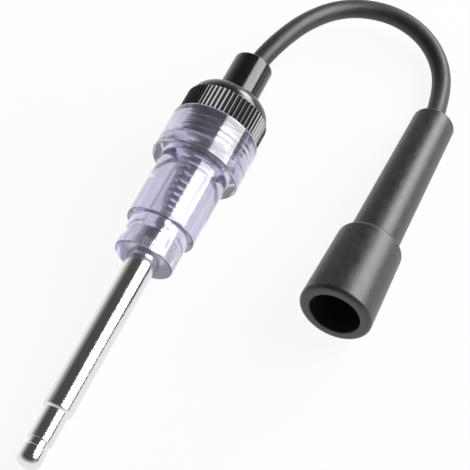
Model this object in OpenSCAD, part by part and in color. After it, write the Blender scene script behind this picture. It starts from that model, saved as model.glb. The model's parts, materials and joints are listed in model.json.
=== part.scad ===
// In-line spark plug tester: a terminal rod in a clear body with a lamp and a spring,
// a screw cap, and a short ignition lead that ends in a rubber boot.
// The tester lies on a flat surface, on its terminal, its collar and its boot.

/* [Terminal rod] */
// Diameter of the rod
rod_d = 8; // [7:0.1:9]
// Length of the bare rod between the terminal and the nose
rod_free_len = 46.4; // [30:0.1:70]
// Diameter of the terminal's rounded head
head_d = 6.35; // [6:0.05:6.6]
// Length of the head
head_len = 5.4; // [5:0.1:7]
// Radius of the head's round end
head_round = 2.2; // [1:0.1:2.8]
// Diameter of the groove behind the head
groove_d = 5.7; // [5:0.1:5.9]
// Length of the groove
groove_len = 1.7; // [1:0.1:3]
// Diameter of the terminal's seat
seat_d = 6.6; // [6.4:0.05:6.9]
// Length of the seat
seat_len = 8.6; // [6:0.1:12]
// Length of the cone between the seat and the rod
seat_cone_len = 0.6; // [0.3:0.1:1.5]
// Height of the knurl teeth above the rod
knurl_h = 0.2; // [0.15:0.05:0.4]
// Length of the knurl
knurl_len = 2.8; // [2:0.1:4]
// Distance from the nose face to the knurl
knurl_in = 1.2; // [1:0.1:2]
// Number of knurl teeth
knurl_count = 44; // [24:1:56]

/* [Clear body] */
// Diameter of the nose
nose_d = 16.4; // [14:0.1:18]
// Length of the nose
nose_len = 9.6; // [8:0.1:14]
// Diameter of the barrel
barrel_d = 19.1; // [18.5:0.1:22]
// Length of the barrel
barrel_len = 20.4; // [16:0.1:30]
// Diameter of the collar
collar_d = 24.8; // [23.5:0.1:30]
// Length of the collar
collar_len = 12.9; // [11.5:0.1:18]
// Radius of the moulded edges
edge_round = 0.5; // [0.2:0.05:0.8]
// Chamfer round the rod at the nose face
nose_chamfer = 0.8; // [0.3:0.1:1]
// Diameter of the spring chamber
chamber_d = 9.6; // [9:0.1:11]
// Depth of the chamber below the barrel
chamber_in_nose = 2.7; // [1.5:0.1:4]
// Diameter of the thread bore in the collar
thread_d = 19; // [17:0.1:20]
// Depth of the thread bore
thread_depth = 8.5; // [7.5:0.1:9.5]
// Length of the cone between the chamber and the thread bore
cone_len = 6.4; // [4:0.1:8]

/* [Lamp] */
// Outer diameter of the lamp's end caps
lamp_cap_d = 5; // [4.4:0.1:5.6]
// Length of each end cap
lamp_cap_len = 2.6; // [2:0.1:3]
// Thickness of the closed end of a cap
lamp_cap_floor = 0.8; // [0.5:0.1:1]
// Wall of an end cap
lamp_cap_wall = 0.25; // [0.2:0.05:0.4]
// Overall length of the lamp without the nub
lamp_len = 7; // [6.4:0.1:9]
// Wall of the glass tube
lamp_glass_wall = 0.5; // [0.3:0.05:0.7]
// Diameter of the electrode pins
electrode_d = 0.8; // [0.5:0.1:1.2]
// Gap between the electrode pins
electrode_gap = 1.4; // [0.8:0.1:2.5]
// Depth of the recess in the rod that holds the lamp
lamp_recess = 1; // [0.5:0.1:1.5]
// Diameter of the nub that centres the spring
nub_d = 2.2; // [1.6:0.1:2.4]
// Length of the nub
nub_len = 1; // [0.6:0.1:1.6]

/* [Spring] */
// Diameter of the spring wire
wire_d = 1.1; // [0.8:0.05:1.2]
// Radius of the wide coils at the cap, at the middle of the wire
spring_top_r = 4.5; // [4.2:0.05:4.6]
// Radius of the middle coils
spring_mid_r = 3.4; // [2.9:0.05:3.7]
// Radius of the small coils at the lamp
spring_low_r = 1.9; // [1.8:0.05:2]
// Number of coils
coil_count = 10; // [8:1:11]
// Gap between the close coils at each end
close_gap = 0.5; // [0.45:0.05:0.7]
// Half the difference between the widest and the narrowest open pitch
pitch_spread = 0.4; // [0:0.05:0.6]

/* [Cap] */
// Diameter of the cap over its ribs
cap_d = 23.5; // [22:0.1:28]
// Height of the cap above the collar
cap_h = 12; // [10:0.1:15]
// Number of grip ribs
rib_count = 54; // [30:1:72]
// Depth of the grooves between the ribs
rib_depth = 0.55; // [0.2:0.05:0.8]
// Radius of the smooth crown above the ribs
crown_round = 5; // [2:0.1:5.2]
// Chamfer at the end of the stem
stem_chamfer = 0.8; // [0.3:0.1:1.2]

/* [Cap contact] */
// Diameter of the contact's flange
flange_d = 12; // [9:0.1:14]
// Thickness of the flange
flange_t = 1; // [0.6:0.1:1.5]
// Diameter of the boss inside the spring
boss_d = 6.8; // [4:0.1:7]
// Length of the boss
boss_len = 1.6; // [1:0.1:2]
// Length of the shank in the cap
shank_len = 8.6; // [6:0.1:9.5]
// Depth of the core's bore in the shank
crimp_depth = 7; // [4:0.1:8]

/* [Cable sleeve] */
// Diameter of the sleeve at the cap
sleeve_d = 11.2; // [10.5:0.1:13]
// Diameter of the sleeve at its free end
sleeve_end_d = 11; // [10.5:0.1:13]
// Length of the sleeve outside the cap
sleeve_len = 12.5; // [11:0.1:20]
// Radius of the sleeve's end edge
sleeve_round = 0.8; // [0.4:0.1:1]
// Diameter of the spigot in the cap
spigot_d = 8.4; // [7.5:0.1:9]
// Length of the spigot
spigot_len = 5; // [3:0.1:5.5]
// Length of the bell mouth
bell_len = 9; // [6:0.1:10]
// Diameter of the bell mouth at its end
bell_d = 8; // [7.8:0.1:8.6]

/* [Cable] */
// Outer diameter of the cable
cable_d = 5.3; // [4.8:0.1:5.5]
// Diameter of the core
core_d = 2; // [1.2:0.1:2.2]
// Length of bare core at the boot's terminal
strip_len = 0.4; // [0.3:0.1:2]

/* [Boot] */
// Length of the boot
boot_len = 72.6; // [68:0.1:90]
// Diameter of the boot at its mouth
mouth_d = 19.6; // [18:0.1:22]
// Diameter of the wide part at its shoulder
wide_end_d = 17.7; // [16.5:0.1:20]
// Length of the wide part
wide_len = 25.2; // [22:0.1:30]
// Diameter of the neck at the shoulder
neck_d = 13.6; // [12.6:0.1:15]
// Diameter of the neck at its end
neck_end_d = 11.7; // [11:0.1:12.5]
// Radius of the mouth's outer edge
mouth_round = 1.3; // [0.5:0.1:1.6]
// Radius of the shoulder
boot_shoulder_round = 1.7; // [0.8:0.1:2]
// Radius of the neck's end edge
neck_round = 1.2; // [0.5:0.1:1.6]
// Diameter of the mouth's bore
mouth_bore_d = 13.6; // [12:0.1:14.5]
// Depth of the mouth's bore
mouth_bore_len = 20; // [15:0.1:21]
// Length of the cone behind the mouth's bore
mouth_cone_len = 3; // [2:0.1:4]
// Diameter of the bore round the insulator's top
insulator_d = 10.6; // [10:0.1:11]
// Depth of that bore
insulator_len = 27; // [25:0.1:29]
// Length of the flare at the neck's end
flare_len = 8; // [5:0.1:10]
// Diameter of the flare at the neck's end
flare_d = 7.4; // [7:0.1:7.6]

/* [Plug terminal] */
// Inner diameter of the snap barrel
snap_d = 6.5; // [6.4:0.05:6.7]
// Wall of the snap barrel
snap_wall = 0.95; // [0.8:0.05:1]
// Length of the snap barrel
snap_len = 10; // [8:0.1:12]
// Distance from the insulator's bore to the barrel
snap_in = 1; // [0.5:0.1:2]
// Thickness of the web between the barrels
web_t = 1.2; // [0.8:0.1:2]
// Wall of the crimp barrel
crimp_wall = 0.5; // [0.4:0.05:0.7]
// Length of the crimp barrel
crimp_len = 9.6; // [6:0.1:10]
// Diameter of the clip wire
clip_wire_d = 0.8; // [0.6:0.05:0.9]
// Distance from the barrel's mouth to the clip
clip_in = 3.6; // [2:0.1:5]
// Depth of the clip's groove in the barrel
clip_groove = 0.55; // [0.4:0.05:0.6]
// Opening of the clip
clip_opening = 60; // [40:1:90]

/* [Fits] */
// Radial clearance of pieces that are pressed together
press_clear = 0.02; // [0.01:0.01:0.03]
// Radial clearance of the cable in its bores
cable_clear = 0.1; // [0.05:0.01:0.2]
// Radial clearance of the stem in the thread bore
thread_clear = 0.2; // [0.1:0.05:0.3]
// Gap between the stem's end and the end of the thread bore
stem_end_gap = 0.6; // [0.3:0.1:2]
// Gap between the cap and the collar when it is screwed home
cap_gap = 0.1; // [0.05:0.05:0.2]
// Gap between the spring and its seats
spring_gap = 0.1; // [0.05:0.01:0.2]
// Clearance of the metal terminal in the boot
socket_clear = 0.4; // [0.35:0.05:0.5]

/* [Pose] */
// Distance along the tester from its middle to the boot's mouth
boot_x = 2.5; // [0:0.1:5]
// Distance beside the tester to the boot's mouth
boot_y = -51; // [-60:0.1:-45]
// Turn of the boot from the line of the tester
boot_turn = 1.2; // [0:0.1:5]

/* [Hidden] */
$fn = 64;

// Stations along the tester's axis, from the tip of the terminal
groove_at = head_len;
seat_at = groove_at + groove_len;
cone_at = seat_at + seat_len;
rod_at = cone_at + seat_cone_len;
nose_at = rod_at + rod_free_len;
barrel_at = nose_at + nose_len;
collar_at = barrel_at + barrel_len;
collar_top = collar_at + collar_len;
knurl_at = nose_at + knurl_in;
chamber_at = barrel_at - chamber_in_nose;
thread_at = collar_top - thread_depth;
cap_at = collar_top + cap_gap;
cap_top = cap_at + cap_h;
stem_at = thread_at + stem_end_gap;
flange_at = stem_at - flange_t;
shank_top = stem_at + shank_len;
spigot_at = cap_top - spigot_len;
sleeve_top = cap_top + sleeve_len;
bell_at = sleeve_top - bell_len;
lamp_at = chamber_at - lamp_recess;
lamp_top = lamp_at + lamp_len;
glass_at = lamp_at + lamp_cap_floor;
glass_top = lamp_top - lamp_cap_floor;

// Radii that pieces share
rod_r = rod_d / 2;
knurl_r = rod_r + knurl_h;
lamp_r = lamp_cap_d / 2;
glass_r = lamp_r - lamp_cap_wall - press_clear;
thread_r = thread_d / 2;
stem_r = thread_r - thread_clear;
cable_r = cable_d / 2;
core_r = core_d / 2;
cable_bore_r = cable_r + cable_clear;
core_bore_r = core_r + cable_clear;
shank_r = cable_bore_r - press_clear;
spigot_r = spigot_d / 2;
snap_r = snap_d / 2 + snap_wall;
crimp_r = cable_bore_r + crimp_wall;
clip_groove_r = snap_r - clip_groove;

// Stations along the boot's axis, from its mouth
snap_at = insulator_len + snap_in;
web_at = snap_at + snap_len;
crimp_at = web_at + web_t;
crimp_top = crimp_at + crimp_len;
flare_at = boot_len - flare_len;
clip_at = snap_at + clip_in;
socket_r = snap_r + socket_clear;

// Tilt at which two round edges, each given as [station, radius of its centre, own radius],
// both touch the surface below the axis
function lie_tilt(a, b) =
    let (along = b[0] - a[0], out = b[1] - a[1], bulge = b[2] - a[2])
    atan2(out, along) + asin(bulge / norm([along, out]));
function lie_height(a, tilt) = a[1] * cos(tilt) + a[2] - a[0] * sin(tilt);

// The tester rests on the terminal's head and on the collar's front edge
head_edge = [head_round, head_d / 2 - head_round, head_round];
collar_edge = [collar_at + edge_round, collar_d / 2 - edge_round, edge_round];
sleeve_edge = [sleeve_top - sleeve_round, sleeve_end_d / 2 - sleeve_round, sleeve_round];
body_tilt = lie_tilt(head_edge, collar_edge);
body_z = lie_height(head_edge, body_tilt);
body_first_x = head_edge[0] * cos(body_tilt) - head_edge[1] * sin(body_tilt) - head_edge[2];
body_last_x = sleeve_edge[0] * cos(body_tilt) + sleeve_edge[1] * sin(body_tilt) + sleeve_edge[2];
body_x = -(body_first_x + body_last_x) / 2;
function on_body(a) = [body_x + a * cos(body_tilt), 0, body_z + a * sin(body_tilt)];

// The boot rests on the end of its neck and on the wide part, at the mouth's rim or at the shoulder,
// whichever touches first
mouth_edge = [mouth_round, mouth_d / 2 - mouth_round, mouth_round];
shoulder_edge = [wide_len - boot_shoulder_round, wide_end_d / 2 - boot_shoulder_round, boot_shoulder_round];
neck_edge = [boot_len - neck_round, neck_end_d / 2 - neck_round, neck_round];
boot_tilt = min(lie_tilt(mouth_edge, neck_edge), lie_tilt(shoulder_edge, neck_edge));
boot_z = lie_height(neck_edge, boot_tilt);
function on_boot(b) = [boot_x + b * cos(boot_tilt) * cos(boot_turn),
    boot_y + b * cos(boot_tilt) * sin(boot_turn), boot_z + b * sin(boot_tilt)];

// Middle of the cable where it runs free, from the sleeve's bell mouth to the boot's neck
free_route = [[61.4, -0.2, 15.6], [66.6, -0.7, 15.8], [71.4, -1.5, 15.8], [76.4, -2.6, 15.5],
    [81.2, -3.7, 14.8], [86.1, -5, 13.8], [90.8, -6.7, 12.5], [95.3, -8.7, 11.2], [99.1, -11.4, 10],
    [102.3, -14.9, 9], [104.5, -19.1, 8], [105.8, -23.7, 7.1], [105.8, -28.6, 6.1], [104.6, -33.4, 5.1],
    [102.2, -37.7, 4.1], [98.9, -41.2, 3.3], [94.8, -44, 2.7], [90.2, -45.8, 2.7], [85.1, -47.1, 3.3],
    [79.9, -48.1, 4.3], [75, -49, 5.3]];
core_end = crimp_at + cable_clear;
jacket_start = shank_top + cable_clear;
jacket_end = core_end + strip_len;
core_start = shank_top - crimp_depth + cable_clear;
into_sleeve = [on_body(spigot_at), on_body(cap_top), on_body(bell_at)];
into_boot = [on_boot(flare_at + flare_len / 2), on_boot(flare_at), on_boot(crimp_top)];
jacket_route = concat([on_body(jacket_start)], into_sleeve, free_route, into_boot, [on_boot(jacket_end)]);
core_route = concat([on_body(core_start)], into_sleeve, free_route, into_boot, [on_boot(core_end)]);
cable_sides = 10;

// Extra depth of a cut that opens a face
over = 1;

// Half widths, as shares of the pitch, of a tooth's foot, of a rib's crest and of a knurl tooth's crest
tooth_foot = 0.48;
rib_flat = 0.08;
knurl_flat = 0.25;
// Share of a tooth's height by which its foot is sunk in what carries it
tooth_sink = 0.25;

// Points of an arc in a turned profile, as [radius, station]
function arc(c, r, from, to, steps = 6) =
    [for (i = [0 : steps]) let (t = from + (to - from) * i / steps) [c[0] + r * cos(t), c[1] + r * sin(t)]];

// Direction of a route at a point, and a ring of points square to it
function unit(v) = v / norm(v);
function heading(route, i) =
    unit(route[min(i + 1, len(route) - 1)] - route[max(i - 1, 0)]);
function ring(centre, ahead, r, sides) =
    let (side = unit(cross([0, 0, 1], ahead)), above = cross(ahead, side))
    [for (k = [0 : sides - 1]) centre + r * (cos(360 * k / sides) * side + sin(360 * k / sides) * above)];
function ring_rows(route, r, sides) =
    [for (i = [0 : len(route) - 1]) each ring(route[i], heading(route, i), r, sides)];

// Triangles of a skin over rows of points; a turned skin faces inwards
function skin(rows, sides, first, turned) =
    [for (i = [0 : rows - 2], k = [0 : sides - 1])
        let (a = first + i * sides + k, b = first + i * sides + (k + 1) % sides,
            c = a + sides, d = b + sides)
        each (turned ? [[a, b, d], [a, d, c]] : [[a, d, b], [a, c, d]])];
function fan(sides, first, turned) =
    [for (k = [1 : sides - 2])
        turned ? [first, first + k + 1, first + k] : [first, first + k, first + k + 1]];

module turned_piece(profile) rotate_extrude() polygon(profile);

module along_body() translate(on_body(0)) rotate([0, 90 - body_tilt, 0]) children();

module along_boot()
    translate(on_boot(0)) rotate([0, 0, boot_turn]) rotate([0, 90 - boot_tilt, 0]) children();

// A ring of straight teeth with flat crests, as on a knurl or a grip
module toothed_disc(count, root_r, crest_r, flat, h) {
    step = 360 / count;
    linear_extrude(h)
        polygon([for (i = [0 : count - 1], p = [[-tooth_foot, root_r], [-flat, crest_r],
                [flat, crest_r], [tooth_foot, root_r]])
            p[1] * [cos((i + p[0]) * step), sin((i + p[0]) * step)]]);
}

module solid_tube(route, r) {
    rows = len(route);
    last = (rows - 1) * cable_sides;
    polyhedron(ring_rows(route, r, cable_sides),
        concat(skin(rows, cable_sides, 0, false), fan(cable_sides, 0, false),
            fan(cable_sides, last, true)));
}

module hollow_tube(route, r, bore_r) {
    rows = len(route);
    inner = rows * cable_sides;
    last = (rows - 1) * cable_sides;
    ends = [for (k = [0 : cable_sides - 1]) let (n = (k + 1) % cable_sides)
        each [[k, n, inner + n], [k, inner + n, inner + k],
            [last + k, inner + last + n, last + n], [last + k, inner + last + k, inner + last + n]]];
    polyhedron(concat(ring_rows(route, r, cable_sides), ring_rows(route, bore_r, cable_sides)),
        concat(skin(rows, cable_sides, 0, false), skin(rows, cable_sides, inner, true), ends));
}

// Terminal, rod and knurled end in one turned bar
module contact_rod() {
    groove_r = groove_d / 2;
    head_r = head_d / 2;
    bevel = head_r - groove_r;
    color("gainsboro") along_body() {
        difference() {
            turned_piece(concat([[0, 0]], arc([head_r - head_round, head_round], head_round, -90, 0),
                [[head_r, groove_at - bevel], [groove_r, groove_at], [groove_r, seat_at],
                 [seat_d / 2, seat_at], [seat_d / 2, cone_at], [rod_r, rod_at], [rod_r, chamber_at],
                 [0, chamber_at]]));
            translate([0, 0, lamp_at]) cylinder(r = lamp_r + press_clear, h = lamp_recess + over);
        }
        translate([0, 0, knurl_at])
            toothed_disc(knurl_count, rod_r - knurl_h * tooth_sink, knurl_r, knurl_flat, knurl_len);
    }
}

// Clear moulding: nose round the rod, barrel with the chamber, collar with the thread bore
module clear_body() {
    fit_r = rod_r + press_clear;
    pocket_r = knurl_r + press_clear;
    e = edge_round;
    nose_r = nose_d / 2;
    barrel_r = barrel_d / 2;
    collar_r = collar_d / 2;
    color("lavender", 0.5) along_body()
        turned_piece(concat(
            [[fit_r + nose_chamfer, nose_at]],
            arc([nose_r - e, nose_at + e], e, -90, 0), [[nose_r, barrel_at]],
            arc([barrel_r - e, barrel_at + e], e, -90, 0), [[barrel_r, collar_at]],
            arc([collar_r - e, collar_at + e], e, -90, 0),
            arc([collar_r - e, collar_top - e], e, 0, 90),
            [[thread_r + e, collar_top], [thread_r, collar_top - e], [thread_r, thread_at],
             [chamber_d / 2, thread_at - cone_len], [chamber_d / 2, chamber_at],
             [fit_r, chamber_at], [fit_r, knurl_at + knurl_len], [pocket_r, knurl_at + knurl_len],
             [pocket_r, knurl_at], [fit_r, knurl_at], [fit_r, nose_at + nose_chamfer]]));
}

// End cap of the lamp: a cup with a closed end
module lamp_cap() {
    difference() {
        cylinder(r = lamp_r, h = lamp_cap_len);
        translate([0, 0, lamp_cap_floor]) cylinder(r = lamp_r - lamp_cap_wall, h = lamp_cap_len);
    }
}

module lamp_lower_cap() color("silver") along_body() translate([0, 0, lamp_at]) lamp_cap();

module lamp_upper_cap() color("silver") along_body() {
    translate([0, 0, lamp_top]) mirror([0, 0, 1]) lamp_cap();
    translate([0, 0, lamp_top - lamp_cap_floor / 2]) cylinder(d = nub_d, h = lamp_cap_floor / 2 + nub_len);
}

module lamp_glass() color("mistyrose", 0.6) along_body() translate([0, 0, glass_at])
    difference() {
        cylinder(r = glass_r, h = glass_top - glass_at);
        translate([0, 0, -over])
            cylinder(r = glass_r - lamp_glass_wall, h = glass_top - glass_at + 2 * over);
    }

// Two pins that stand on the caps and face each other across a gap
module lamp_electrodes() {
    pin_len = (glass_top - glass_at - electrode_gap) / 2;
    color("dimgray") along_body() for (z = [glass_at, glass_top - pin_len])
        translate([0, 0, z]) cylinder(d = electrode_d, h = pin_len);
}

// Tapered spring: close coils at both ends, open coils between them
coil_rings = 8;
wire_sides = 6;
wire_r = wire_d / 2;
end_coils = 2;
spring_low = lamp_top + spring_gap + wire_r;
spring_high = flange_at - spring_gap - wire_r;
end_pitch = wire_d + close_gap;
open_coils = coil_count - 2 * end_coils;
open_pitch = (spring_high - spring_low - 2 * end_coils * end_pitch) / open_coils;
coil_radii = [[0, spring_low_r], [end_coils + 1, spring_mid_r], [coil_count / 2, spring_mid_r],
    [coil_count - 1, spring_top_r], [coil_count, spring_top_r]];
function open_height(j) = (open_pitch - pitch_spread) * j + pitch_spread * j * j / open_coils;
function coil_height(k) = spring_low + end_pitch * min(k, end_coils)
    + open_height(max(0, min(k - end_coils, open_coils)))
    + end_pitch * max(0, k - end_coils - open_coils);
spring_route = [for (i = [0 : coil_count * coil_rings]) let (k = i / coil_rings, r = lookup(k, coil_radii))
    [r * cos(360 * k), r * sin(360 * k), coil_height(k)]];
spring_rings = [for (i = [0 : len(spring_route) - 1]) let (k = i / coil_rings,
        out = [cos(360 * k), sin(360 * k), 0], above = cross(unit(heading(spring_route, i)), -out))
    [for (s = [0 : wire_sides - 1])
        spring_route[i] + wire_r * (cos(360 * s / wire_sides) * out + sin(360 * s / wire_sides) * above)]];
// Least distance between points of the wire that are at least half a coil apart
spring_self_gap = min([for (i = [0 : len(spring_rings) - 1 - coil_rings / 2])
    min([for (j = [i + coil_rings / 2 : min(len(spring_rings) - 1, i + coil_rings * 3 / 2)])
        min([for (p = spring_rings[i], q = spring_rings[j]) norm(p - q)])])]);
echo(spring_self_gap = spring_self_gap);

module contact_spring() {
    rows = len(spring_rings);
    last = (rows - 1) * wire_sides;
    color("slategray") along_body() polyhedron([for (row = spring_rings) each row],
        concat(skin(rows, wire_sides, 0, false), fan(wire_sides, 0, false), fan(wire_sides, last, true)));
}

// Turned contact: boss inside the spring, flange under the stem, shank with the core's bore
module cap_contact() color("silver") along_body() difference() {
    union() {
        translate([0, 0, flange_at - boss_len]) cylinder(d = boss_d, h = boss_len);
        translate([0, 0, flange_at]) cylinder(d = flange_d, h = flange_t);
        translate([0, 0, stem_at]) cylinder(r = shank_r, h = shank_len);
    }
    translate([0, 0, shank_top - crimp_depth]) cylinder(r = core_bore_r, h = crimp_depth + over);
}

// Grip with straight ribs and a round crown, on a stem that fills the thread bore
module threaded_cap() {
    root_r = cap_d / 2 - rib_depth;
    rib_h = cap_h - crown_round;
    color([0.1, 0.1, 0.11]) along_body() difference() {
        union() {
            turned_piece(concat(
                [[0, stem_at], [stem_r - stem_chamfer, stem_at], [stem_r, stem_at + stem_chamfer],
                 [stem_r, cap_at], [root_r, cap_at]],
                arc([root_r - crown_round, cap_top - crown_round], crown_round, 0, 90),
                [[0, cap_top]]));
            translate([0, 0, cap_at])
                toothed_disc(rib_count, root_r - rib_depth * tooth_sink, cap_d / 2, rib_flat, rib_h);
        }
        translate([0, 0, stem_at - over]) cylinder(r = cable_bore_r, h = spigot_at - stem_at + 2 * over);
        translate([0, 0, spigot_at]) cylinder(r = spigot_r + press_clear, h = spigot_len + over);
    }
}

// Bush with a spigot in the cap and a bell mouth for the cable
module cable_sleeve() color([0.12, 0.12, 0.13]) along_body()
    turned_piece(concat(
        [[cable_bore_r, spigot_at], [spigot_r, spigot_at], [spigot_r, cap_top], [sleeve_d / 2, cap_top]],
        arc([sleeve_end_d / 2 - sleeve_round, sleeve_top - sleeve_round], sleeve_round, 0, 90),
        [[bell_d / 2, sleeve_top], [cable_bore_r, bell_at]]));

module cable_jacket() color([0.14, 0.14, 0.14]) hollow_tube(jacket_route, cable_r, core_bore_r);

module cable_core() color("dimgray") solid_tube(core_route, core_r);

// Moulded boot: wide mouth, round shoulder, tapered neck, stepped bore
module rubber_boot() {
    neck_base_r = neck_d / 2;
    wide_r = wide_end_d / 2;
    socket_end = crimp_at + cable_clear;
    crimp_end = crimp_top + cable_clear;
    crimp_room_r = crimp_r + cable_clear;
    color([0.22, 0.22, 0.23]) along_boot()
        turned_piece(concat(
            [[mouth_bore_d / 2, 0]],
            arc([mouth_d / 2 - mouth_round, mouth_round], mouth_round, -90, 0),
            arc([wide_r - boot_shoulder_round, wide_len - boot_shoulder_round], boot_shoulder_round, 0, 90),
            [[neck_base_r, wide_len]],
            arc([neck_end_d / 2 - neck_round, boot_len - neck_round], neck_round, 0, 90),
            [[flare_d / 2, boot_len], [cable_bore_r, flare_at], [cable_bore_r, crimp_end],
             [crimp_room_r, crimp_end], [crimp_room_r, socket_end], [socket_r, socket_end],
             [socket_r, insulator_len], [insulator_d / 2, insulator_len],
             [insulator_d / 2, mouth_bore_len + mouth_cone_len], [mouth_bore_d / 2, mouth_bore_len]]));
}

// Snap barrel for the plug's terminal, a closed web, and a barrel crimped on the cable
module plug_terminal() {
    groove_w = clip_wire_d + 2 * press_clear;
    color("silver") along_boot()
        turned_piece([[0, web_at], [snap_d / 2, web_at], [snap_d / 2, snap_at], [snap_r, snap_at],
            [snap_r, clip_at - groove_w / 2], [clip_groove_r, clip_at - groove_w / 2],
            [clip_groove_r, clip_at + groove_w / 2], [snap_r, clip_at + groove_w / 2],
            [snap_r, crimp_at], [crimp_r, crimp_at], [crimp_r, crimp_top],
            [cable_bore_r, crimp_top], [cable_bore_r, crimp_at], [0, crimp_at]]);
}

// Open wire ring in the groove of the snap barrel
module terminal_clip() {
    ring_r = clip_groove_r + clip_wire_d / 2 + press_clear;
    color("gray") along_boot() translate([0, 0, clip_at]) rotate([0, 0, clip_opening / 2])
        rotate_extrude(angle = 360 - clip_opening) translate([ring_r, 0]) circle(d = clip_wire_d, $fn = 32);
}

contact_rod();
clear_body();
lamp_lower_cap();
lamp_glass();
lamp_electrodes();
lamp_upper_cap();
contact_spring();
cap_contact();
threaded_cap();
cable_sleeve();
cable_jacket();
cable_core();
rubber_boot();
plug_terminal();
terminal_clip();
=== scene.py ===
import json
import math

import bmesh
import bpy
from mathutils import Matrix, Vector


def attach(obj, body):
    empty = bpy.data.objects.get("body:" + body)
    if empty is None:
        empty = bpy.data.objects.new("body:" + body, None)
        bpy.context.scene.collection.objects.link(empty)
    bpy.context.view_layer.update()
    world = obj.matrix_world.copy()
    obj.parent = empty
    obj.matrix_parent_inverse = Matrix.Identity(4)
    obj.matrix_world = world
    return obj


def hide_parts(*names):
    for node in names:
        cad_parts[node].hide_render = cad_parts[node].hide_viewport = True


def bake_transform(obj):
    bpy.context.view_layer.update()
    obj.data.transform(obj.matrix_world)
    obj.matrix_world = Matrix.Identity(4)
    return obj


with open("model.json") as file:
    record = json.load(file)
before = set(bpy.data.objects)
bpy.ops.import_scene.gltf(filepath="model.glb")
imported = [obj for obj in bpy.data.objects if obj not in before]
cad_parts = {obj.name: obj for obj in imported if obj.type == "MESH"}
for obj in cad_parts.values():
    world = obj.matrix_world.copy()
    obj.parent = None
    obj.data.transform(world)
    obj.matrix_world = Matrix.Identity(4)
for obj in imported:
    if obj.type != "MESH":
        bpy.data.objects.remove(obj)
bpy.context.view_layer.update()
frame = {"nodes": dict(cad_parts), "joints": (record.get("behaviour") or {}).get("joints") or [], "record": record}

# Terminal rod
# A turned and plated steel bar: a plug terminal at its tip, a long plain shank, and a straight knurl
# that the clear nose is moulded on. Sizes are in millimetres, along the tester from the rod's tip.
mm = 0.001
micron = 0.000001
rod_r = 4
head_r = 3.175
head_round = 2.2
groove_at = 5.4
groove_r = 2.85
head_back = groove_at - (head_r - groove_r)
groove_round = 0.2
seat_at = 7.1
seat_r = 3.3
seat_round = 0.15
cone_at = 15.7
shank_at = 16.3
shank_round = 0.2
knurl_at = 63.9
knurl_top = 66.7
knurl_r = 4.2
knurl_teeth = 44
knurl_breadth = 10
steps_per_tooth = 8
chamber_at = 69.6
lamp_at = 68.6
lamp_socket_r = 2.52
collar_top = 105.6

# How near two points count as one ring, how near they are welded, and the angle that stays a crease
near = 0.005
weld = 0.001
crease = math.radians(35)

# Noise keeps near its middle, between these two values
noise_low = 0.3
noise_high = 0.7

cap_turn = next(joint for joint in frame["joints"] if joint["name"] == "cap_turn")


def axis_place(foot, along):
    """Takes millimetres, with Z along a piece's axis, to the frame."""
    across = Vector((0, 0, 1)).cross(along).normalized()
    turn = Matrix((across.cross(along), across, along)).transposed().to_4x4()
    return Matrix.Translation(foot) @ turn @ Matrix.Scale(mm, 4)


tester_axis = Vector(cap_turn["axis"]).normalized()
tester_place = axis_place(Vector(cap_turn["pos_m"]) - tester_axis * collar_top * mm, tester_axis)


def add_turned(bm, profile, steps):
    """Turns a profile of (radius, station) points once round the axis."""
    chain = [bm.verts.new((radius, 0, station)) for radius, station in profile]
    edges = [bm.edges.new(pair) for pair in zip(chain, chain[1:])]
    bmesh.ops.spin(bm, geom=chain + edges, axis=(0, 0, 1), angle=math.tau, steps=steps, use_merge=True)
    bmesh.ops.remove_doubles(bm, verts=bm.verts, dist=weld)
    bmesh.ops.recalc_face_normals(bm, faces=bm.faces)


def on_ring(v, radius, station):
    """Whether a vertex lies on the circle at that radius and station."""
    return abs(v.co.xy.length - radius) < near and abs(v.co.z - station) < near


def round_edge(bm, radius, station, size, segments=5):
    """Rounds the circular edge at that radius and station."""
    ring = [edge for edge in bm.edges if all(on_ring(v, radius, station) for v in edge.verts)]
    bmesh.ops.bevel(
        bm, geom=ring, offset=size, affect="EDGES", segments=segments, profile=0.5, material=-1
    )


def raise_teeth(bm, low, high, root_r, crest_r, teeth, breadth):
    """Sinks the gaps between straight teeth in a turned band; a larger breadth leaves narrower gaps."""
    for v in bm.verts:
        if low - near < v.co.z < high + near and abs(v.co.xy.length - crest_r) < near:
            from_crest = abs((math.atan2(v.co.y, v.co.x) / math.tau * teeth + 0.5) % 1 - 0.5)
            share = 1 - (2 * from_crest) ** breadth
            v.co.xy *= (root_r + (crest_r - root_r) * share) / crest_r
    bmesh.ops.remove_doubles(bm, verts=bm.verts, dist=weld)


def add_piece(name, bm, place, material, body, nodes):
    """Makes a finished mesh an object that rides on a body and stands for its CAD nodes."""
    bmesh.ops.transform(bm, matrix=place, verts=bm.verts)
    mesh = bpy.data.meshes.new(name)
    bm.to_mesh(mesh)
    bm.free()
    mesh.shade_smooth()
    mesh.set_sharp_from_angle(angle=crease)
    mesh.materials.append(material)
    piece = bpy.data.objects.new(name, mesh)
    bpy.context.scene.collection.objects.link(piece)
    piece.modifiers.new("even_shading", "WEIGHTED_NORMAL").keep_sharp = True
    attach(piece, body)
    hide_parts(*nodes)
    return piece


def add_node(tree, kind, inputs, **settings):
    """Adds a shader node; an input is a plain value or the socket that feeds it."""
    made = tree.nodes.new(kind)
    for name, value in settings.items():
        setattr(made, name, value)
    for name, value in inputs.items():
        if isinstance(value, bpy.types.NodeSocket):
            tree.links.new(value, made.inputs[name])
        else:
            made.inputs[name].default_value = value
    return made


def new_finish(name, values):
    """A material whose Principled shader has these plain values."""
    material = bpy.data.materials.new(name)
    material.use_nodes = True
    shader = material.node_tree.nodes["Principled BSDF"]
    for socket, value in values.items():
        shader.inputs[socket].default_value = value
    return material, material.node_tree, shader


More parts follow.
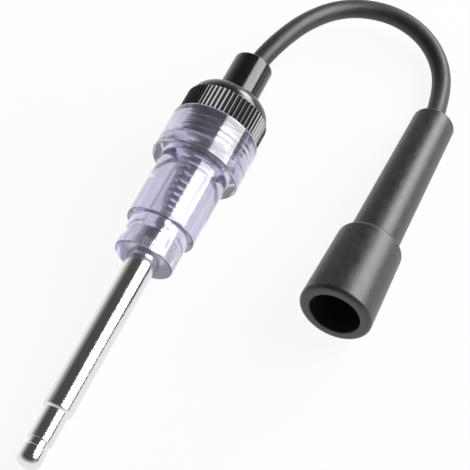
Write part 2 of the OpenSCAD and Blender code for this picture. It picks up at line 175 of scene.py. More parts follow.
def along_axis(tree, place):
    """Object coordinates in millimetres, with Z along the piece's axis."""
    object_place = add_node(tree, "ShaderNodeTexCoord", {}).outputs["Object"]
    turned_place = add_node(
        tree,
        "ShaderNodeMapping",
        {
            "Vector": object_place,
            "Location": place.translation,
            "Rotation": place.to_euler(),
            "Scale": place.to_scale(),
        },
        vector_type="TEXTURE",
    )
    return turned_place.outputs["Vector"]


def spread(tree, value, low, high):
    """Spreads a noise value over a range."""
    ends = {"From Min": noise_low, "From Max": noise_high, "To Min": low, "To Max": high}
    return add_node(tree, "ShaderNodeMapRange", {"Value": value, **ends}).outputs["Result"]


def add_relief(tree, shader, height, depth):
    """Raises a fine relief, its depth in microns, on top of any that the shader already has."""
    bump = add_node(
        tree, "ShaderNodeBump", {"Height": height, "Strength": 1, "Distance": depth * micron}
    )
    for link in shader.inputs["Normal"].links:
        tree.links.new(link.from_socket, bump.inputs["Normal"])
    tree.links.new(bump.outputs["Normal"], shader.inputs["Normal"])


def new_effect(name, amounts, results):
    """A shader node group that takes a place and some amounts, and gives some values."""
    group = bpy.data.node_groups.new(name, "ShaderNodeTree")
    group.interface.new_socket("Place", in_out="INPUT", socket_type="NodeSocketVector")
    for amount in amounts:
        group.interface.new_socket(amount, in_out="INPUT", socket_type="NodeSocketFloat")
    for result in results:
        group.interface.new_socket(result, in_out="OUTPUT", socket_type="NodeSocketFloat")
    return group, group.nodes.new("NodeGroupInput"), group.nodes.new("NodeGroupOutput")


# Tool lines round a turned piece, and the smears that handling leaves on bright metal
turned_metal, metal_in, metal_out = new_effect(
    "turned_metal", ["Lines per mm", "Smears per mm"], ["Lines", "Smears"]
)
metal_station = add_node(turned_metal, "ShaderNodeSeparateXYZ", {"Vector": metal_in.outputs["Place"]})
tool_lines = add_node(
    turned_metal,
    "ShaderNodeTexNoise",
    {"W": metal_station.outputs["Z"], "Scale": metal_in.outputs["Lines per mm"], "Detail": 3},
    noise_dimensions="1D",
)
handling = add_node(
    turned_metal,
    "ShaderNodeTexNoise",
    {"Vector": metal_in.outputs["Place"], "Scale": metal_in.outputs["Smears per mm"], "Detail": 4},
)
turned_metal.links.new(tool_lines.outputs["Fac"], metal_out.inputs["Lines"])
turned_metal.links.new(handling.outputs["Fac"], metal_out.inputs["Smears"])


def metal_finish(name, colour, place, lines, smears, rough, line_depth):
    """Bright metal with tool lines and smears."""
    material, tree, shader = new_finish(name, {"Base Color": (*colour, 1), "Metallic": 1})
    marks = add_node(
        tree,
        "ShaderNodeGroup",
        {"Place": along_axis(tree, place), "Lines per mm": lines, "Smears per mm": smears},
        node_tree=turned_metal,
    )
    tree.links.new(spread(tree, marks.outputs["Smears"], *rough), shader.inputs["Roughness"])
    add_relief(tree, shader, marks.outputs["Lines"], line_depth)
    return material


plated_steel = metal_finish(
    "plated_steel", (0.8, 0.8, 0.79), tester_place, lines=9, smears=0.25, rough=(0.07, 0.14), line_depth=0.6
)
# The plating has a fine grain, which breaks up the edges of what it mirrors
plate_tree = plated_steel.node_tree
plate_grain = add_node(
    plate_tree,
    "ShaderNodeTexNoise",
    {"Vector": along_axis(plate_tree, tester_place), "Scale": 4, "Detail": 2},
)
add_relief(plate_tree, plate_tree.nodes["Principled BSDF"], plate_grain.outputs["Fac"], depth=30)

rod = bmesh.new()
add_turned(
    rod,
    [
        (0, 0), (head_r, 0), (head_r, head_back), (groove_r, groove_at), (groove_r, seat_at),
        (seat_r, seat_at), (seat_r, cone_at), (rod_r, shank_at), (rod_r, knurl_at), (knurl_r, knurl_at),
        (knurl_r, knurl_top), (rod_r, knurl_top), (rod_r, chamber_at), (lamp_socket_r, chamber_at),
        (lamp_socket_r, lamp_at), (0, lamp_at),
    ],
    knurl_teeth * steps_per_tooth,
)
raise_teeth(rod, knurl_at, knurl_top, rod_r, knurl_r, knurl_teeth, knurl_breadth)
round_edge(rod, head_r, 0, head_round, segments=14)
round_edge(rod, head_r, head_back, groove_round)
round_edge(rod, seat_r, seat_at, seat_round)
round_edge(rod, rod_r, shank_at, shank_round)
add_piece("rod", rod, tester_place, plated_steel, "tester", ["contact_rod"])

# Clear body
# One clear moulding with a faint violet tint: a nose on the rod's knurl, a barrel round the spring
# chamber, and a collar with the screw thread. It is cast on the metal, so no air shows between them.
nose_at = 62.7
nose_r = 8.2
nose_chamfer = 0.8
bond_depth = 0.06
bonded_r = rod_r - bond_depth
barrel_at = 72.3
barrel_r = 9.55
collar_at = 92.7
collar_r = 12.4
edge_round = 0.5
corner_round = 0.25
chamber_r = 4.8
cone_foot = 90.7
body_steps = 160
thread_at = 97.1
thread_entry = 105.1
thread_r = 9.5
thread_crest_r = 8.553
thread_relief = 0.1
thread_pitch = 1.75
thread_steps = 144
thread_flat = thread_pitch / 16
thread_flank = math.radians(30)
satin_edge = 0.05


def add_thread(bm, inner_r, outer_r, low, high):
    """A 60 degree screw thread: one pitch of its outline, spun up a helix and trimmed square."""
    flank = (outer_r - inner_r) * math.tan(thread_flank)
    outline = [
        (outer_r, 0), (outer_r, thread_flat), (inner_r, thread_flat + flank),
        (inner_r, thread_pitch - thread_flat - flank), (outer_r, thread_pitch - thread_flat),
        (outer_r, thread_pitch),
    ]
    start = thread_at - 2 * thread_pitch
    turns = math.ceil((high - start) / thread_pitch) + 1
    chain = [bm.verts.new((radius, 0, start + rise)) for radius, rise in outline]
    edges = [bm.edges.new(pair) for pair in zip(chain, chain[1:])]
    bmesh.ops.spin(
        bm,
        geom=chain + edges,
        axis=(0, 0, 1),
        dvec=(0, 0, thread_pitch / thread_steps),
        angle=math.tau * turns,
        steps=thread_steps * turns,
    )
    bmesh.ops.remove_doubles(bm, verts=bm.verts, dist=weld)
    for station, outward in ((low, -1), (high, 1)):
        bmesh.ops.bisect_plane(
            bm,
            geom=bm.verts[:] + bm.edges[:] + bm.faces[:],
            dist=weld / 10,
            plane_co=(0, 0, station),
            plane_no=(0, 0, outward),
            clear_outer=True,
        )


def close_thread(bm, low, high):
    """Fills the flat ring between each end of the thread and the turned surface round it."""
    for station in (low, high):
        ends = [
            edge for edge in bm.edges
            if edge.is_boundary and all(abs(v.co.z - station) < weld for v in edge.verts)
        ]
        bmesh.ops.triangle_fill(bm, edges=ends, use_beauty=True)
    bmesh.ops.recalc_face_normals(bm, faces=bm.faces)


clear_plastic, clear_tree, clear_shader = new_finish(
    "clear_plastic",
    {
        "Base Color": (0.92, 0.9, 1, 1),
        "IOR": 1.58,
        "Transmission Weight": 0.955,
        "Coat IOR": 1.6,
        "Coat Roughness": 0.1,
    },
)
clear_place = along_axis(clear_tree, tester_place)
flow = add_node(clear_tree, "ShaderNodeTexNoise", {"Vector": clear_place, "Scale": 0.35, "Detail": 2})
add_relief(clear_tree, clear_shader, flow.outputs["Fac"], depth=20)

# The mould was turned, so its lines run round every wall and streak the gloss of the skin
clear_station = add_node(clear_tree, "ShaderNodeSeparateXYZ", {"Vector": clear_place})
off_axis = add_node(
    clear_tree, "ShaderNodeVectorMath", {0: clear_place, 1: (1, 1, 0)}, operation="MULTIPLY"
)
from_axis = add_node(
    clear_tree, "ShaderNodeVectorMath", {0: off_axis.outputs["Vector"]}, operation="LENGTH"
)
along_wall = add_node(
    clear_tree,
    "ShaderNodeMath",
    {0: clear_station.outputs["Z"], 1: from_axis.outputs["Value"]},
    operation="ADD",
)
mould_lines = add_node(
    clear_tree,
    "ShaderNodeTexNoise",
    {"W": along_wall.outputs["Value"], "Scale": 1.8, "Detail": 4},
    noise_dimensions="1D",
)
skin_gloss = spread(clear_tree, mould_lines.outputs["Fac"], low=0.3, high=0.75)
clear_tree.links.new(skin_gloss, clear_shader.inputs["Coat Weight"])

# The flat front of the nose is satin, and the rest is polished
nose_satin = add_node(
    clear_tree,
    "ShaderNodeMapRange",
    {
        "Value": clear_station.outputs["Z"],
        "From Min": nose_at + satin_edge,
        "From Max": nose_at + edge_round,
        "To Min": 0.26,
        "To Max": 0.02,
    },
)
clear_tree.links.new(nose_satin.outputs["Result"], clear_shader.inputs["Roughness"])

# The tint is in the depth of the plastic, and lamp light passes through it to the metal inside
clear_output = clear_tree.nodes["Material Output"]
violet = add_node(
    clear_tree, "ShaderNodeVolumeAbsorption", {"Color": (0.38, 0.34, 0.6, 1), "Density": 42}
)
clear_tree.links.new(violet.outputs["Volume"], clear_output.inputs["Volume"])
light_through = add_node(clear_tree, "ShaderNodeBsdfTransparent", {"Color": (0.86, 0.84, 0.93, 1)})
clear_ray = add_node(clear_tree, "ShaderNodeLightPath", {})
clear_mix = add_node(
    clear_tree,
    "ShaderNodeMixShader",
    {
        0: clear_ray.outputs["Is Shadow Ray"],
        1: clear_shader.outputs["BSDF"],
        2: light_through.outputs["BSDF"],
    },
)
clear_tree.links.new(clear_mix.outputs["Shader"], clear_output.inputs["Surface"])

body = bmesh.new()
add_thread(body, thread_crest_r, thread_r, thread_at, thread_entry)
thread_wall_r = thread_r + thread_relief
add_turned(
    body,
    [
        (thread_wall_r, thread_at), (chamber_r, cone_foot), (chamber_r, chamber_at),
        (bonded_r, chamber_at), (bonded_r, nose_at + nose_chamfer), (rod_r + nose_chamfer, nose_at),
        (nose_r, nose_at), (nose_r, barrel_at), (barrel_r, barrel_at), (barrel_r, collar_at),
        (collar_r, collar_at), (collar_r, collar_top), (thread_wall_r + edge_round, collar_top),
        (thread_wall_r, thread_entry),
    ],
    body_steps,
)
close_thread(body, thread_at, thread_entry)
outer_edges = [(nose_r, nose_at), (barrel_r, barrel_at), (collar_r, collar_at), (collar_r, collar_top)]
inner_corners = [(nose_r, barrel_at), (barrel_r, collar_at)]
for radius, station in outer_edges:
    round_edge(body, radius, station, edge_round)
for radius, station in inner_corners:
    round_edge(body, radius, station, corner_round, segments=3)
add_piece("clear_moulding", body, tester_place, clear_plastic, "tester", ["clear_body"])

# Lamp
# A small discharge lamp that stands on the rod's end: a glass tube between two pressed metal caps,
# with an electrode on each. The upper cap has a nub that centres the spring.
lamp_r = 2.5
lamp_bore_r = 2.25
lamp_cap_len = 2.6
lamp_cap_floor = 0.8
lamp_foot_round = 0.1
lamp_top_round = 0.4
lamp_top = 75.6
glass_r = 2.23
glass_bore_r = 1.73
nub_r = 1.1
nub_len = 1
nub_top = lamp_top + nub_len
nub_round = 0.35
electrode_r = 0.4
electrode_round = 0.15
electrode_gap = 1.4
lamp_steps = 64
pin_steps = 24

lamp_metal = metal_finish(
    "lamp_metal", (0.74, 0.74, 0.73), tester_place, lines=6, smears=0.8, rough=(0.16, 0.3), line_depth=1
)
lower_cap = bmesh.new()
lower_rim = lamp_at + lamp_cap_len
tube_low = lamp_at + lamp_cap_floor
add_turned(
    lower_cap,
    [
        (0, lamp_at), (lamp_r, lamp_at), (lamp_r, lower_rim), (lamp_bore_r, lower_rim),
        (lamp_bore_r, tube_low), (0, tube_low),
    ],
    lamp_steps,
)
round_edge(lower_cap, lamp_r, lower_rim, lamp_foot_round, segments=3)
add_piece("lamp_foot", lower_cap, tester_place, lamp_metal, "tester", ["lamp_lower_cap"])

upper_cap = bmesh.new()
upper_rim = lamp_top - lamp_cap_len
tube_high = lamp_top - lamp_cap_floor
add_turned(
    upper_cap,
    [
        (0, tube_high), (lamp_bore_r, tube_high), (lamp_bore_r, upper_rim), (lamp_r, upper_rim),
        (lamp_r, lamp_top), (nub_r, lamp_top), (nub_r, nub_top), (0, nub_top),
    ],
    lamp_steps,
)
round_edge(upper_cap, lamp_r, lamp_top, lamp_top_round)
round_edge(upper_cap, nub_r, nub_top, nub_round)
add_piece("lamp_top_cap", upper_cap, tester_place, lamp_metal, "tester", ["lamp_upper_cap"])

lamp_glass, glass_tree, glass_shader = new_finish(
    "lamp_glass",
    {"Base Color": (0.98, 0.97, 0.96, 1), "Roughness": 0.02, "IOR": 1.5, "Transmission Weight": 1},
)
glass_flow = add_node(
    glass_tree, "ShaderNodeTexNoise", {"Vector": along_axis(glass_tree, tester_place), "Scale": 0.8}
)
add_relief(glass_tree, glass_shader, glass_flow.outputs["Fac"], depth=20)
tube = bmesh.new()
add_turned(
    tube,
    [
        (glass_r, tube_low), (glass_r, tube_high), (glass_bore_r, tube_high), (glass_bore_r, tube_low),
        (glass_r, tube_low),
    ],
    lamp_steps,
)
add_piece("lamp_tube", tube, tester_place, lamp_glass, "tester", ["lamp_glass"])

electrode_metal = metal_finish(
    "electrode_metal", (0.5, 0.49, 0.48), tester_place, lines=4, smears=1.5, rough=(0.25, 0.45), line_depth=2
)
pins = bmesh.new()
pin_len = (tube_high - tube_low - electrode_gap) / 2
for foot, tip in ((tube_low, tube_low + pin_len), (tube_high, tube_high - pin_len)):
    add_turned(pins, [(0, foot), (electrode_r, foot), (electrode_r, tip), (0, tip)], pin_steps)
    round_edge(pins, electrode_r, tip, electrode_round, segments=3)
add_piece("lamp_pins", pins, tester_place, electrode_metal, "tester", ["lamp_electrodes"])

# Contact spring
# A tapered spring of bright drawn wire between the lamp and the cap's contact. Its coils are close at
# both ends and open between them.
wire_r = 0.55
seat_gap = 0.1
flange_at = 96.7
spring_low = lamp_top + seat_gap + wire_r
spring_high = flange_at - seat_gap - wire_r
coils = 10
end_coils = 2
end_pitch = 1.6
pitch_spread = 0.4
coil_points = 32
coil_radii = [(0, 1.9), (3, 3.4), (5, 3.4), (9, 4.5), (10, 4.5)]
open_coils = coils - 2 * end_coils
open_pitch = (spring_high - spring_low - 2 * end_coils * end_pitch) / open_coils
wire_crease = math.radians(50)

spring_curve = bpy.data.curves.new("spring_wire", "CURVE")
spring_curve.dimensions = "3D"
spring_curve.bevel_depth = wire_r * mm
spring_curve.bevel_resolution = 4
spring_curve.use_fill_caps = True
wire = spring_curve.splines.new("POLY")
wire.points.add(coils * coil_points)
for i, point in enumerate(wire.points):
    turn = i / coil_points
    below, above = next(pair for pair in zip(coil_radii, coil_radii[1:]) if turn <= pair[1][0])
    radius = below[1] + (above[1] - below[1]) * (turn - below[0]) / (above[0] - below[0])
    open_turn = min(max(turn - end_coils, 0), open_coils)
    station = spring_low + end_pitch * (min(turn, end_coils) + max(0, turn - end_coils - open_coils))
    station += (open_pitch - pitch_spread) * open_turn + pitch_spread * open_turn**2 / open_coils
    angle = math.tau * turn
    wire_point = Vector((radius * math.cos(angle), radius * math.sin(angle), station))
    point.co = (*(tester_place @ wire_point), 1)
spring_source = bpy.data.objects.new("spring_wire", spring_curve)
bpy.context.scene.collection.objects.link(spring_source)
spring_mesh = bpy.data.meshes.new_from_object(spring_source)
bpy.data.objects.remove(spring_source)
spring_bm = bmesh.new()
spring_bm.from_mesh(spring_mesh)
bmesh.ops.remove_doubles(spring_bm, verts=spring_bm.verts, dist=weld * mm)
spring_bm.to_mesh(spring_mesh)
spring_bm.free()
spring_mesh.shade_smooth()
spring_mesh.set_sharp_from_angle(angle=wire_crease)
spring_mesh.materials.clear()
spring_steel = metal_finish(
    "spring_steel", (0.6, 0.61, 0.62), tester_place, lines=3, smears=0.6, rough=(0.14, 0.24), line_depth=1
)
spring_mesh.materials.append(spring_steel)
spring = bpy.data.objects.new("spring", spring_mesh)
bpy.context.scene.collection.objects.link(spring)
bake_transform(spring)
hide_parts("contact_spring")

# Cap contact
# A turned and plated contact under the cap's stem: a boss inside the spring's wide end, a flange that
# the spring presses on, and a shank that the cable's core is crimped in.
stem_at = 97.7
boss_r = 3.4
boss_len = 1.6
boss_at = flange_at - boss_len
boss_round = 0.4
flange_r = 6
flange_round = 0.15
shank_r = 2.73
shank_top = 106.3
core_bore_r = 1.1
core_bore_at = 99.3
contact_steps = 96

contact_metal = metal_finish(
    "contact_metal", (0.55, 0.53, 0.5), tester_place, lines=8, smears=0.5, rough=(0.15, 0.28), line_depth=1
)
contact = bmesh.new()
add_turned(
    contact,
    [
        (0, boss_at), (boss_r, boss_at), (boss_r, flange_at), (flange_r, flange_at), (flange_r, stem_at),
        (shank_r, stem_at), (shank_r, shank_top), (core_bore_r, shank_top), (core_bore_r, core_bore_at),
        (0, core_bore_at),
    ],
    contact_steps,
)
round_edge(contact, boss_r, boss_at, boss_round)
round_edge(contact, flange_r, flange_at, flange_round, segments=3)
add_piece("spring_contact", contact, tester_place, contact_metal, "cap", ["cap_contact"])

# Screw cap
# Glossy black moulding: a threaded stem in the collar, a grip with straight ribs and a smooth round
# crown above them. The cable sleeve is pressed into its top.
stem_r = 9.3
stem_root_r = 8.23
stem_core_r = stem_root_r - thread_relief
cap_at = 105.7
lead_in = 0.5
run_out = 0.3
stem_thread_at = stem_at + lead_in
stem_thread_top = cap_at - run_out
cap_top = 117.7
crest_r = 11.75
root_r = 11.2
rib_top = 112.7
ribs = 54
rib_breadth = 1.5
steps_per_rib = 24
crown_round = 5
crown_haze_edge = 0.1
cable_bore_r = 2.75
spigot_r = 4.2
spigot_at = 112.7

# Fine grain and cloudy patches of a moulded plastic or rubber surface
moulded_skin, skin_in, skin_out = new_effect(
    "moulded_skin", ["Grains per mm", "Patches per mm"], ["Grain", "Patches"]
)
for wave, scale, detail in (("Grain", "Grains per mm", 2), ("Patches", "Patches per mm", 5)):
    noise = add_node(
        moulded_skin,
        "ShaderNodeTexNoise",
        {"Vector": skin_in.outputs["Place"], "Scale": skin_in.outputs[scale], "Detail": detail},
    )
    moulded_skin.links.new(noise.outputs["Fac"], skin_out.inputs[wave])


def moulded_finish(name, dark, pale, place, grains, patches, rough, depth, gloss):
    """Moulded black plastic or rubber with a fine grain and cloudy patches."""
    material, tree, shader = new_finish(name, {"IOR": 1.5, "Specular IOR Level": gloss})
    skin = add_node(
        tree,
        "ShaderNodeGroup",
        {"Place": along_axis(tree, place), "Grains per mm": grains, "Patches per mm": patches},
        node_tree=moulded_skin,
    )
    colour = add_node(tree, "ShaderNodeValToRGB", {"Fac": skin.outputs["Patches"]})
    stops = zip(colour.color_ramp.elements, (noise_low, noise_high), (dark, pale))
    for stop, position, shade in stops:
        stop.position = position
        stop.color = (*shade, 1)
    tree.links.new(colour.outputs["Color"], shader.inputs["Base Color"])
    tree.links.new(spread(tree, skin.outputs["Patches"], *rough), shader.inputs["Roughness"])
    add_relief(tree, shader, skin.outputs["Grain"], depth)
    return material


cap_black = moulded_finish(
    "cap_black", (0.006, 0.006, 0.006), (0.011, 0.011, 0.011), tester_place,
    grains=2.5, patches=0.3, rough=(0.06, 0.1), depth=3, gloss=1,
)
# The crown is duller than the ribs
cap_tree = cap_black.node_tree
cap_shader = cap_tree.nodes["Principled BSDF"]
cap_station = add_node(cap_tree, "ShaderNodeSeparateXYZ", {"Vector": along_axis(cap_tree, tester_place)})
crown_haze = add_node(
    cap_tree,
    "ShaderNodeMapRange",
    {
        "Value": cap_station.outputs["Z"],
        "From Min": rib_top - crown_haze_edge,
        "From Max": rib_top + crown_haze_edge,
        "To Max": 0.14,
    },
)
cap_rough = add_node(
    cap_tree,
    "ShaderNodeMath",
    {0: cap_shader.inputs["Roughness"].links[0].from_socket, 1: crown_haze.outputs["Result"]},
    operation="ADD",
)
cap_tree.links.new(cap_rough.outputs["Value"], cap_shader.inputs["Roughness"])
cap = bmesh.new()
add_thread(cap, stem_root_r, stem_r, stem_thread_at, stem_thread_top)
add_turned(
    cap,
    [
        (stem_core_r, stem_thread_top), (stem_core_r, cap_at), (root_r, cap_at), (crest_r, cap_at),
        (crest_r, rib_top), (root_r, rib_top), (root_r, cap_top), (spigot_r, cap_top),
        (spigot_r, spigot_at), (cable_bore_r, spigot_at), (cable_bore_r, stem_at),
        (stem_core_r, stem_at), (stem_core_r, stem_thread_at),
    ],
    ribs * steps_per_rib,
)
close_thread(cap, stem_thread_at, stem_thread_top)
raise_teeth(cap, cap_at, rib_top, root_r, crest_r, ribs, rib_breadth)
round_edge(cap, root_r, cap_top, crown_round, segments=12)
add_piece("screw_cap", cap, tester_place, cap_black, "cap", ["threaded_cap"])

# Cable sleeve
# Glossy black bush, pressed into the cap. It tapers a little, its end edge is round, and a bell mouth
# inside lets the cable bend as it leaves.
sleeve_r = 5.6
sleeve_foot_round = 0.15
sleeve_end_r = 5.5
sleeve_top = 130.2
sleeve_round = 0.8
bell_at = 121.2
bell_r = 4
bell_round = 0.25
bush_steps = 128

sleeve_black = moulded_finish(
    "sleeve_black", (0.005, 0.005, 0.005), (0.009, 0.009, 0.009), tester_place,
    grains=2, patches=0.25, rough=(0.12, 0.2), depth=4, gloss=0.77,
)
sleeve = bmesh.new()
add_turned(
    sleeve,
    [
        (cable_bore_r, spigot_at), (spigot_r, spigot_at), (spigot_r, cap_top), (sleeve_r, cap_top),
        (sleeve_end_r, sleeve_top), (bell_r, sleeve_top), (cable_bore_r, bell_at),
        (cable_bore_r, spigot_at),
    ],
    bush_steps,
)
round_edge(sleeve, sleeve_r, cap_top, sleeve_foot_round, segments=3)
round_edge(sleeve, sleeve_end_r, sleeve_top, sleeve_round, segments=8)
round_edge(sleeve, bell_r, sleeve_top, bell_round, segments=4)
add_piece("sleeve", sleeve, tester_place, sleeve_black, "cap", ["cable_sleeve"])

# Rubber boot
# Moulded rubber plug boot: a wide mouth for a plug's insulator, a round shoulder and a tapered neck
# that grips the cable. Sizes are in millimetres, along the boot from its mouth.
boot_mouth = next(mount for mount in frame["record"]["mounts"] if mount["name"] == "boot_mouth")
mouth_r = 9.8
mouth_round = 1.3
mouth_bore_r = 6.8
mouth_bore_len = 20
mouth_bore_round = 0.4
insulator_at = 23
insulator_r = 5.3
socket_at = 27
socket_r = 4.6
crimp_at = 39.3
crimp_r = 3.35
crimp_top = 48.9
flare_at = 64.6
flare_r = 3.7
flare_round = 0.3
shoulder_at = 25.2
shoulder_r = 8.85
shoulder_round = 1.7
neck_r = 6.8
neck_foot_round = 0.6
neck_end_r = 5.85
neck_round = 1.2
boot_len = 72.6
boot_steps = 128

boot_axis = -Vector(boot_mouth["axis"]).normalized()
boot_foot = Vector(boot_mouth["pos_m"]) - boot_axis * boot_mouth["dims"]["length_mm"] / 2 * mm
boot_place = axis_place(boot_foot, boot_axis)

boot_rubber = moulded_finish(
    "boot_rubber", (0.016, 0.016, 0.016), (0.03, 0.03, 0.03), boot_place,
    grains=2.4, patches=0.5, rough=(0.32, 0.42), depth=30, gloss=0.71,
)
boot = bmesh.new()
add_turned(
    boot,
    [
        (mouth_bore_r, 0), (mouth_r, 0), (shoulder_r, shoulder_at), (neck_r, shoulder_at),
        (neck_end_r, boot_len), (flare_r, boot_len), (cable_bore_r, flare_at), (cable_bore_r, crimp_top),
        (crimp_r, crimp_top), (crimp_r, crimp_at), (socket_r, crimp_at), (socket_r, socket_at),
        (insulator_r, socket_at), (insulator_r, insulator_at), (mouth_bore_r, mouth_bore_len),
        (mouth_bore_r, 0),
    ],
    boot_steps,
)
round_edge(boot, mouth_bore_r, 0, mouth_bore_round)
round_edge(boot, mouth_r, 0, mouth_round, segments=8)
round_edge(boot, shoulder_r, shoulder_at, shoulder_round, segments=8)
round_edge(boot, neck_r, shoulder_at, neck_foot_round)
round_edge(boot, neck_end_r, boot_len, neck_round, segments=8)
round_edge(boot, flare_r, boot_len, flare_round)
boot_piece = add_piece("boot", boot, boot_place, boot_rubber, "cap", ["rubber_boot"])

# Plug terminal
# A pressed snap barrel deep in the boot, with an open wire ring that clips on the plug, and the end of
# the cable's stranded core that its other barrel is crimped on.
terminal_metal = metal_finish(
    "terminal_metal", (0.7, 0.7, 0.69), boot_place, lines=5, smears=0.4, rough=(0.2, 0.34), line_depth=1
)
clip_steel = metal_finish(
    "clip_steel", (0.6, 0.6, 0.61), boot_place, lines=3, smears=0.8, rough=(0.18, 0.3), line_depth=1
)
core_metal = metal_finish(
    "core_metal", (0.45, 0.44, 0.43), boot_place, lines=6, smears=0.8, rough=(0.3, 0.45), line_depth=2
)
for node_name, metal in (
    ("plug_terminal", terminal_metal),
    ("terminal_clip", clip_steel),
    ("cable_core", core_metal),
):
    metal_node = frame["nodes"][node_name]
    metal_node.data.materials.clear()
    metal_node.data.materials.append(metal)

# Cable
# One short length of ignition lead with satin black insulation, from the contact in the cap through the
# sleeve's bell mouth, down in one loop to the surface, and into the boot's neck. The route is in metres.
cable_r = 0.00265
free_route = [
    (0.0614, -0.0002, 0.0156), (0.0666, -0.0007, 0.0158), (0.0714, -0.0015, 0.0158),
    (0.0764, -0.0026, 0.0155), (0.0812, -0.0037, 0.0148), (0.0861, -0.005, 0.0138),
    (0.0908, -0.0067, 0.0125), (0.0953, -0.0087, 0.0112), (0.0991, -0.0114, 0.01),
    (0.1023, -0.0149, 0.009), (0.1045, -0.0191, 0.008), (0.1058, -0.0237, 0.0071),
    (0.1058, -0.0286, 0.0061), (0.1046, -0.0334, 0.0051), (0.1022, -0.0377, 0.0041),
    (0.0989, -0.0412, 0.0033), (0.0948, -0.044, 0.0027), (0.0902, -0.0458, 0.0027),
    (0.0851, -0.0471, 0.0033), (0.0799, -0.0481, 0.0043), (0.075, -0.049, 0.0053),
]
cable_start = 106.4
flare_inside = 68.6
cable_end = 39.7
in_sleeve = [
    tester_place @ Vector((0, 0, station)) for station in (cable_start, spigot_at, cap_top, bell_at)
]
in_boot = [
    boot_place @ Vector((0, 0, station)) for station in (flare_inside, flare_at, crimp_top, cable_end)
]

cable_curve = bpy.data.curves.new("cable", "CURVE")
cable_curve.dimensions = "3D"
cable_curve.bevel_depth = cable_r
cable_curve.bevel_resolution = 10
cable_curve.resolution_u = 8
cable_curve.use_fill_caps = True
line = cable_curve.splines.new("NURBS")
cable_route = [*in_sleeve, *free_route, *in_boot]
line.points.add(len(cable_route) - 1)
for point, place in zip(line.points, cable_route):
    point.co = (*place, 1)
line.order_u = 4
line.use_endpoint_u = True
cable_black = moulded_finish(
    "cable_black", (0.016, 0.016, 0.017), (0.026, 0.026, 0.027), tester_place,
    grains=1.2, patches=0.3, rough=(0.4, 0.5), depth=10, gloss=0.6,
)
cable_curve.materials.append(cable_black)
cable = bpy.data.objects.new("cable", cable_curve)
bpy.context.scene.collection.objects.link(cable)
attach(cable, "cap")
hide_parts("cable_jacket")

# Floor
# A plain white sheet under the object. To the camera, and in reflections and through the clear body, it
# is nearly all white of its own, and the rest of it is paint that keeps the object's faint shadow.
floor_half = 6
floor_white = 0.92

floor_mesh = bpy.data.meshes.new("floor")
floor_bm = bmesh.new()
bmesh.ops.create_grid(floor_bm, x_segments=1, y_segments=1, size=floor_half)
floor_bm.to_mesh(floor_mesh)
floor_bm.free()
floor = bpy.data.objects.new("floor", floor_mesh)
bpy.context.scene.collection.objects.link(floor)
white_floor = bpy.data.materials.new("white_floor")
white_floor.use_nodes = True
floor_tree = white_floor.node_tree
floor_tree.nodes.remove(floor_tree.nodes["Principled BSDF"])
floor_ray = add_node(floor_tree, "ShaderNodeLightPath", {})
seen = add_node(
    floor_tree,
    "ShaderNodeMath",
    {0: floor_ray.outputs["Is Camera Ray"], 1: floor_ray.outputs["Is Glossy Ray"]},
    operation="MAXIMUM",
)
seen_or_through = add_node(
    floor_tree,
    "ShaderNodeMath",
    {0: seen.outputs["Value"], 1: floor_ray.outputs["Is Transmission Ray"]},
    operation="MAXIMUM",
)
white_share = add_node(
    floor_tree, "ShaderNodeMath", {0: seen_or_through.outputs["Value"], 1: floor_white}, operation="MULTIPLY"
)
paint = add_node(floor_tree, "ShaderNodeBsdfDiffuse", {"Color": (0.9, 0.9, 0.9, 1)})
white = add_node(floor_tree, "ShaderNodeEmission", {"Color": (1, 1, 1, 1), "Strength": 1})
floor_mix = add_node(
    floor_tree,
    "ShaderNodeMixShader",
    {0: white_share.outputs["Value"], 1: paint.outputs["BSDF"], 2: white.outputs["Emission"]},
)
floor_tree.links.new(floor_mix.outputs["Shader"], floor_tree.nodes["Material Output"].inputs["Surface"])
floor_mesh.materials.append(white_floor)

# Surroundings and light
# A soft box and a smaller side light on the right, both fading towards their edges, and a low black
# card that draws the dark line along the bright metal. Around them it is pale below and dim overhead.
horizon_grey = 0.72
overhead_grey = 0.08
overhead_from = 0.68

world = bpy.data.worlds.new("studio")
bpy.context.scene.world = world
world.use_nodes = True
world_tree = world.node_tree
sky_place = add_node(world_tree, "ShaderNodeTexCoord", {})
sky_height = add_node(world_tree, "ShaderNodeSeparateXYZ", {"Vector": sky_place.outputs["Generated"]})
sky = add_node(world_tree, "ShaderNodeValToRGB", {"Fac": sky_height.outputs["Z"]})
for stop, height, grey in zip(sky.color_ramp.elements, (0, overhead_from), (horizon_grey, overhead_grey)):
    stop.position = height
    stop.color = (grey, grey, grey, 1)
world_tree.links.new(sky.outputs["Color"], world_tree.nodes["Background"].inputs["Color"])

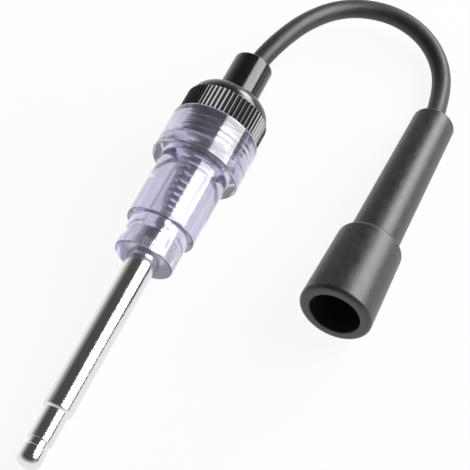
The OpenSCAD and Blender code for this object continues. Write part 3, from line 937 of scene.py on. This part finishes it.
object_middle = Vector((0.02, -0.015, 0.01))
light_distance = 0.9
light_fade = 0.3
softbox_way = Vector((0.481, -0.687, 0.545))
side_way = Vector((0.883, -0.321, 0.342))
for name, way, width, height, level in (
    ("softbox", softbox_way, 0.8, 1.06, 6.4),
    ("side_light", side_way, 0.48, 0.54, 9),
):
    area = bpy.data.lights.new(name, "AREA")
    area.shape = "RECTANGLE"
    area.size = width
    area.size_y = height
    area.energy = level * math.pi * width * height
    area.use_nodes = True
    light_tree = area.node_tree
    light_spot = add_node(light_tree, "ShaderNodeNewGeometry", {})
    from_middle = add_node(
        light_tree,
        "ShaderNodeMapping",
        {"Vector": light_spot.outputs["Parametric"], "Location": (-1, -1, 0), "Scale": (2, 2, 0)},
    )
    to_edge = add_node(
        light_tree,
        "ShaderNodeTexGradient",
        {"Vector": from_middle.outputs["Vector"]},
        gradient_type="SPHERICAL",
    )
    soft_edge = add_node(
        light_tree,
        "ShaderNodeMapRange",
        {"Value": to_edge.outputs["Fac"], "From Max": light_fade},
        interpolation_type="SMOOTHSTEP",
    )
    light_tree.links.new(soft_edge.outputs["Result"], light_tree.nodes["Emission"].inputs["Strength"])
    light = bpy.data.objects.new(name, area)
    bpy.context.scene.collection.objects.link(light)
    light.location = object_middle + way * light_distance
    light.rotation_mode = "QUATERNION"
    light.rotation_quaternion = way.to_track_quat("Z", "Y")

card_distance = 0.5
card_width = 1
card_height = 0.11
card_mesh = bpy.data.meshes.new("flag")
card_bm = bmesh.new()
bmesh.ops.create_grid(card_bm, x_segments=1, y_segments=1, size=0.5)
card_up = Vector((0, 0, 1))
card_way = Vector((softbox_way.x, softbox_way.y, 0)).normalized()
card_turn = Matrix((card_up.cross(card_way), card_up, card_way)).transposed().to_4x4()
card_size = Matrix.Diagonal((card_width, card_height, 1, 1))
card_at = object_middle + card_way * card_distance
card_at.z = card_height / 2
bmesh.ops.transform(
    card_bm, matrix=Matrix.Translation(card_at) @ card_turn @ card_size, verts=card_bm.verts
)
card_bm.to_mesh(card_mesh)
card_bm.free()
card = bpy.data.objects.new("flag", card_mesh)
bpy.context.scene.collection.objects.link(card)
card.visible_camera = False
card.visible_diffuse = False
card.visible_shadow = False
card_black = new_finish("flag_black", {"Base Color": (0.02, 0.02, 0.02, 1), "Roughness": 1})[0]
card_mesh.materials.append(card_black)

# Camera
# A long lens high on the terminal's side, at the photograph's angle and distance. Light may pass through
# many walls of the clear body before it reaches the lens.
camera_at = Vector((-0.2386, -0.13802, 0.38877))
camera_aim = Vector((0.02104, -0.01486, 0))
light_passes = 32
camera_data = bpy.data.cameras.new("camera")
camera_data.sensor_width = 36
camera_data.lens = 140.17
camera = bpy.data.objects.new("camera", camera_data)
bpy.context.scene.collection.objects.link(camera)
camera.location = camera_at
camera.rotation_mode = "QUATERNION"
camera.rotation_quaternion = (camera_aim - camera_at).to_track_quat("-Z", "Y")
bpy.context.scene.camera = camera

bpy.context.scene.view_settings.view_transform = "Standard"
bpy.context.scene.cycles.max_bounces = light_passes
bpy.context.scene.cycles.transmission_bounces = light_passes
bpy.context.scene.cycles.glossy_bounces = light_passes
